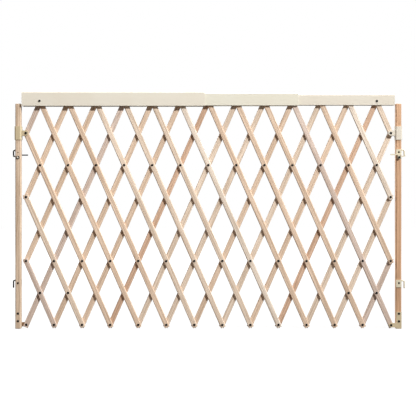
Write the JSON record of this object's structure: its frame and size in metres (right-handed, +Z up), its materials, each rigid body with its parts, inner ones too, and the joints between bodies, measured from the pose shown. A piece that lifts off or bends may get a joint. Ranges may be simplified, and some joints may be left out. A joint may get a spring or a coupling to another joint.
{
  "type": "expanding lattice safety gate",
  "caption": "Folding wooden scissor lattice gate between two posts, with a telescoping top rail, sliding collars, foot brackets, wall hooks and keepers that lock them.",
  "frame": {"origin": "on the ground, in the middle of the gate as it stands at its stored width", "axes": "+X to the right as seen from the front, -Y the front, +Z up"},
  "size_m": [1.3456, 0.039, 0.8128],
  "materials": {
    "front_slats": "sanded, unvarnished, pale hardwood",
    "back_slats": "sanded, unvarnished, pale hardwood",
    "left_post": "sanded, unvarnished",
    "right_post": "sanded, unvarnished",
    "rail": "satin cream moulded plastic",
    "left_slider": "satin almond moulded plastic",
    "right_slider": "satin cream moulded plastic",
    "foot_bracket": "satin olive tan coating",
    "left_hardware": "satin black coating",
    "right_hardware": "satin cream coating",
    "fasteners": "plain zinc plated steel"
  },
  "bodies": {
    "left_post": {"left_post": "left_post", "left_foot_bracket": "foot_bracket", "left_foot_rivets": "fasteners", "left_upper_hook": "left_hardware", "left_lower_hook": "left_hardware", "left_upper_clamp": "left_hardware", "left_lower_clamp": "left_hardware", "left_post_screws": "fasteners", "left_keeper_bolt": "fasteners"},
    "right_post": {"right_post": "right_post", "right_foot_bracket": "foot_bracket", "right_foot_rivets": "fasteners", "right_upper_hook": "right_hardware", "right_lower_hook": "right_hardware", "right_upper_clamp": "right_hardware", "right_lower_clamp": "right_hardware", "right_post_screws": "fasteners", "right_keeper_bolt": "fasteners"},
    "left_slider": {"left_slider": "left_slider"},
    "left_keeper": {"left_keeper": "left_hardware"},
    "right_slider": {"right_slider": "right_slider"},
    "right_keeper": {"right_keeper": "right_hardware"},
    "rail_outer": {"rail_outer": "rail", "left_rail_fixing": "fasteners"},
    "rail_inner": {"rail_inner": "rail", "right_rail_fixing": "fasteners"},
    "rail_middle": {"rail_middle": "rail"},
    "front_slat_01": {"front_slat_01": "front_slats"},
    "front_slat_02": {"front_slat_02": "front_slats"},
    "front_slat_03": {"front_slat_03": "front_slats"},
    "front_slat_04": {"front_slat_04": "front_slats"},
    "front_slat_05": {"front_slat_05": "front_slats"},
    "front_slat_06": {"front_slat_06": "front_slats"},
    "front_slat_07": {"front_slat_07": "front_slats"},
    "front_slat_08": {"front_slat_08": "front_slats"},
    "front_slat_09": {"front_slat_09": "front_slats"},
    "front_slat_10": {"front_slat_10": "front_slats"},
    "front_slat_11": {"front_slat_11": "front_slats"},
    "front_slat_12": {"front_slat_12": "front_slats"},
    "front_slat_13": {"front_slat_13": "front_slats"},
    "front_slat_14": {"front_slat_14": "front_slats"},
    "front_slat_15": {"front_slat_15": "front_slats"},
    "front_slat_16": {"front_slat_16": "front_slats"},
    "back_slat_01": {"back_slat_01": "back_slats"},
    "back_slat_02": {"back_slat_02": "back_slats"},
    "back_slat_03": {"back_slat_03": "back_slats"},
    "back_slat_04": {"back_slat_04": "back_slats"},
    "back_slat_05": {"back_slat_05": "back_slats"},
    "back_slat_06": {"back_slat_06": "back_slats"},
    "back_slat_07": {"back_slat_07": "back_slats"},
    "back_slat_08": {"back_slat_08": "back_slats"},
    "back_slat_09": {"back_slat_09": "back_slats"},
    "back_slat_10": {"back_slat_10": "back_slats"},
    "back_slat_11": {"back_slat_11": "back_slats"},
    "back_slat_12": {"back_slat_12": "back_slats"},
    "back_slat_13": {"back_slat_13": "back_slats"},
    "back_slat_14": {"back_slat_14": "back_slats"},
    "back_slat_15": {"back_slat_15": "back_slats"},
    "back_slat_16": {"back_slat_16": "back_slats"}
  },
  "joints": [
    {"name": "lattice_fold", "type": "hinge", "parent": "left_post", "child": "back_slat_04", "pos_m": [-0.62443, 0, 0.01273], "axis": [0, 1, 0], "range_deg": [-12.2, 3.65]},
    {"name": "turn_front_slat_01", "type": "hinge", "parent": "back_slat_04", "child": "front_slat_01", "pos_m": [-0.57639, 0, 0.12215], "axis": [0, 1, 0], "range_deg": [-7.8, 24.9]},
    {"name": "turn_front_slat_02", "type": "hinge", "parent": "back_slat_04", "child": "front_slat_02", "pos_m": [-0.52836, 0, 0.23157], "axis": [0, 1, 0], "range_deg": [-7.8, 24.9]},
    {"name": "turn_front_slat_05", "type": "hinge", "parent": "back_slat_04", "child": "front_slat_05", "pos_m": [-0.38426, 0, 0.55984], "axis": [0, 1, 0], "range_deg": [-7.8, 24.9]},
    {"name": "turn_front_slat_07", "type": "hinge", "parent": "back_slat_04", "child": "front_slat_07", "pos_m": [-0.2882, 0, 0.77868], "axis": [0, 1, 0], "range_deg": [-7.8, 24.9]},
    {"name": "turn_back_slat_11", "type": "hinge", "parent": "front_slat_07", "child": "back_slat_11", "pos_m": [0.04803, 0, 0.01273], "axis": [0, 1, 0], "range_deg": [-24.9, 7.8]},
    {"name": "turn_back_slat_09", "type": "hinge", "parent": "front_slat_07", "child": "back_slat_09", "pos_m": [-0.04803, 0, 0.23157], "axis": [0, 1, 0], "range_deg": [-24.9, 7.8]},
    {"name": "turn_back_slat_06", "type": "hinge", "parent": "front_slat_07", "child": "back_slat_06", "pos_m": [-0.19213, 0, 0.55984], "axis": [0, 1, 0], "range_deg": [-24.9, 7.8]},
    {"name": "turn_back_slat_07", "type": "hinge", "parent": "front_slat_05", "child": "back_slat_07", "pos_m": [-0.24016, 0, 0.23157], "axis": [0, 1, 0], "range_deg": [-24.9, 7.8]},
    {"name": "turn_back_slat_02", "type": "hinge", "parent": "front_slat_05", "child": "back_slat_02", "pos_m": [-0.48033, 0, 0.77868], "axis": [0, 1, 0], "range_deg": [-24.9, 7.8]},
    {"name": "turn_back_slat_05", "type": "hinge", "parent": "front_slat_02", "child": "back_slat_05", "pos_m": [-0.48033, 0, 0.12215], "axis": [0, 1, 0], "range_deg": [-24.9, 7.8]},
    {"name": "turn_back_slat_03", "type": "hinge", "parent": "front_slat_01", "child": "back_slat_03", "pos_m": [-0.62443, 0, 0.23157], "axis": [0, 1, 0], "range_deg": [-24.9, 7.8]},
    {"name": "turn_front_slat_09", "type": "hinge", "parent": "back_slat_11", "child": "front_slat_09", "pos_m": [0.1441, 0, 0.23157], "axis": [0, 1, 0], "range_deg": [-7.8, 24.9]},
    {"name": "turn_front_slat_12", "type": "hinge", "parent": "back_slat_11", "child": "front_slat_12", "pos_m": [0.2882, 0, 0.55984], "axis": [0, 1, 0], "range_deg": [-7.8, 24.9]},
    {"name": "turn_front_slat_14", "type": "hinge", "parent": "back_slat_11", "child": "front_slat_14", "pos_m": [0.38426, 0, 0.77868], "axis": [0, 1, 0], "range_deg": [-7.8, 24.9]},
    {"name": "turn_front_slat_10", "type": "hinge", "parent": "back_slat_09", "child": "front_slat_10", "pos_m": [0.09607, 0, 0.55984], "axis": [0, 1, 0], "range_deg": [-7.8, 24.9]},
    {"name": "turn_front_slat_08", "type": "hinge", "parent": "back_slat_07", "child": "front_slat_08", "pos_m": [-0.09607, 0, 0.55984], "axis": [0, 1, 0], "range_deg": [-7.8, 24.9]},
    {"name": "turn_front_slat_03", "type": "hinge", "parent": "back_slat_07", "child": "front_slat_03", "pos_m": [-0.33623, 0, 0.01273], "axis": [0, 1, 0], "range_deg": [-7.8, 24.9]},
    {"name": "turn_front_slat_04", "type": "hinge", "parent": "back_slat_06", "child": "front_slat_04", "pos_m": [-0.33623, 0, 0.23157], "axis": [0, 1, 0], "range_deg": [-7.8, 24.9]},
    {"name": "turn_front_slat_06", "type": "hinge", "parent": "back_slat_05", "child": "front_slat_06", "pos_m": [-0.2882, 0, 0.55984], "axis": [0, 1, 0], "range_deg": [-7.8, 24.9]},
    {"name": "turn_back_slat_16", "type": "hinge", "parent": "front_slat_12", "child": "back_slat_16", "pos_m": [0.52836, 0, 0.01273], "axis": [0, 1, 0], "range_deg": [-24.9, 7.8]},
    {"name": "turn_back_slat_15", "type": "hinge", "parent": "front_slat_12", "child": "back_slat_15", "pos_m": [0.48033, 0, 0.12215], "axis": [0, 1, 0], "range_deg": [-24.9, 7.8]},
    {"name": "turn_back_slat_14", "type": "hinge", "parent": "front_slat_12", "child": "back_slat_14", "pos_m": [0.43229, 0, 0.23157], "axis": [0, 1, 0], "range_deg": [-24.9, 7.8]},
    {"name": "turn_back_slat_13", "type": "hinge", "parent": "front_slat_14", "child": "back_slat_13", "pos_m": [0.48033, 0, 0.55984], "axis": [0, 1, 0], "range_deg": [-24.9, 7.8]},
    {"name": "turn_back_slat_12", "type": "hinge", "parent": "front_slat_10", "child": "back_slat_12", "pos_m": [0.24016, 0, 0.23157], "axis": [0, 1, 0], "range_deg": [-24.9, 7.8]},
    {"name": "turn_back_slat_10", "type": "hinge", "parent": "front_slat_08", "child": "back_slat_10", "pos_m": [0.04803, 0, 0.23157], "axis": [0, 1, 0], "range_deg": [-24.9, 7.8]},
    {"name": "turn_back_slat_08", "type": "hinge", "parent": "front_slat_04", "child": "back_slat_08", "pos_m": [-0.24016, 0, 0.01273], "axis": [0, 1, 0], "range_deg": [-24.9, 7.8]},
    {"name": "turn_back_slat_01", "type": "hinge", "parent": "front_slat_04", "child": "back_slat_01", "pos_m": [-0.57639, 0, 0.77868], "axis": [0, 1, 0], "range_deg": [-24.9, 7.8]},
    {"name": "turn_front_slat_11", "type": "hinge", "parent": "back_slat_15", "child": "front_slat_11", "pos_m": [0.43229, 0, 0.01273], "axis": [0, 1, 0], "range_deg": [-7.8, 24.9]},
    {"name": "turn_front_slat_13", "type": "hinge", "parent": "back_slat_15", "child": "front_slat_13", "pos_m": [0.52836, 0, 0.23157], "axis": [0, 1, 0], "range_deg": [-7.8, 24.9]},
    {"name": "turn_front_slat_15", "type": "hinge", "parent": "back_slat_15", "child": "front_slat_15", "pos_m": [0.62443, 0, 0.45042], "axis": [0, 1, 0], "range_deg": [-7.8, 24.9]},
    {"name": "turn_front_slat_16", "type": "hinge", "parent": "back_slat_14", "child": "front_slat_16", "pos_m": [0.62443, 0, 0.66926], "axis": [0, 1, 0], "range_deg": [-7.8, 24.9]},
    {"name": "right_foot_turn", "type": "hinge", "parent": "front_slat_13", "child": "right_post", "pos_m": [0.62443, 0, 0.01273], "axis": [0, 1, 0], "range_deg": [-12.7, 4.15]},
    {"name": "left_slider_turn", "type": "hinge", "parent": "front_slat_03", "child": "left_slider", "pos_m": [-0.62443, 0, 0.66926], "axis": [0, 1, 0], "range_deg": [-12.7, 4.15]},
    {"name": "right_slider_turn", "type": "hinge", "parent": "back_slat_14", "child": "right_slider", "pos_m": [0.62443, 0, 0.66926], "axis": [0, 1, 0], "range_deg": [-4.15, 12.7]},
    {"name": "outer_rail_turn", "type": "hinge", "parent": "front_slat_04", "child": "rail_outer", "pos_m": [-0.57639, 0, 0.77868], "axis": [0, 1, 0], "range_deg": [-12.7, 4.15]},
    {"name": "inner_rail_turn", "type": "hinge", "parent": "back_slat_13", "child": "rail_inner", "pos_m": [0.57639, 0, 0.77868], "axis": [0, 1, 0], "range_deg": [-4.15, 12.7]},
    {"name": "middle_rail_slide", "type": "slide", "parent": "rail_outer", "child": "rail_middle", "axis": [1, 0, 0], "range_m": [-0.3259, 0.0989]},
    {"name": "right_keeper_turn", "type": "hinge", "parent": "right_post", "child": "right_keeper", "pos_m": [0.65145, 0, 0.58576], "axis": [0, 1, 0], "range_deg": [0, 60]},
    {"name": "left_keeper_turn", "type": "hinge", "parent": "left_post", "child": "left_keeper", "pos_m": [-0.65145, 0, 0.58576], "axis": [0, -1, 0], "range_deg": [0, 60]}
  ],
  "couplings": [
    {"joint": "turn_front_slat_01", "follows": "lattice_fold", "ratio": -2},
    {"joint": "turn_front_slat_02", "follows": "lattice_fold", "ratio": -2},
    {"joint": "turn_front_slat_05", "follows": "lattice_fold", "ratio": -2},
    {"joint": "turn_front_slat_07", "follows": "lattice_fold", "ratio": -2},
    {"joint": "turn_back_slat_11", "follows": "lattice_fold", "ratio": 2},
    {"joint": "turn_back_slat_09", "follows": "lattice_fold", "ratio": 2},
    {"joint": "turn_back_slat_06", "follows": "lattice_fold", "ratio": 2},
    {"joint": "turn_back_slat_07", "follows": "lattice_fold", "ratio": 2},
    {"joint": "turn_back_slat_02", "follows": "lattice_fold", "ratio": 2},
    {"joint": "turn_back_slat_05", "follows": "lattice_fold", "ratio": 2},
    {"joint": "turn_back_slat_03", "follows": "lattice_fold", "ratio": 2},
    {"joint": "turn_front_slat_09", "follows": "lattice_fold", "ratio": -2},
    {"joint": "turn_front_slat_12", "follows": "lattice_fold", "ratio": -2},
    {"joint": "turn_front_slat_14", "follows": "lattice_fold", "ratio": -2},
    {"joint": "turn_front_slat_10", "follows": "lattice_fold", "ratio": -2},
    {"joint": "turn_front_slat_08", "follows": "lattice_fold", "ratio": -2},
    {"joint": "turn_front_slat_03", "follows": "lattice_fold", "ratio": -2},
    {"joint": "turn_front_slat_04", "follows": "lattice_fold", "ratio": -2},
    {"joint": "turn_front_slat_06", "follows": "lattice_fold", "ratio": -2},
    {"joint": "turn_back_slat_16", "follows": "lattice_fold", "ratio": 2},
    {"joint": "turn_back_slat_15", "follows": "lattice_fold", "ratio": 2},
    {"joint": "turn_back_slat_14", "follows": "lattice_fold", "ratio": 2},
    {"joint": "turn_back_slat_13", "follows": "lattice_fold", "ratio": 2},
    {"joint": "turn_back_slat_12", "follows": "lattice_fold", "ratio": 2},
    {"joint": "turn_back_slat_10", "follows": "lattice_fold", "ratio": 2},
    {"joint": "turn_back_slat_08", "follows": "lattice_fold", "ratio": 2},
    {"joint": "turn_back_slat_01", "follows": "lattice_fold", "ratio": 2},
    {"joint": "turn_front_slat_11", "follows": "lattice_fold", "ratio": -2},
    {"joint": "turn_front_slat_13", "follows": "lattice_fold", "ratio": -2},
    {"joint": "turn_front_slat_15", "follows": "lattice_fold", "ratio": -2},
    {"joint": "turn_front_slat_16", "follows": "lattice_fold", "ratio": -2},
    {"joint": "right_foot_turn", "follows": "lattice_fold", "ratio": 1},
    {"joint": "left_slider_turn", "follows": "lattice_fold", "ratio": 1},
    {"joint": "right_slider_turn", "follows": "lattice_fold", "ratio": -1},
    {"joint": "outer_rail_turn", "follows": "lattice_fold", "ratio": 1},
    {"joint": "inner_rail_turn", "follows": "lattice_fold", "ratio": -1},
    {"joint": "middle_rail_slide", "follows": "lattice_fold", "m_per_rad": 1.521}
  ]
}
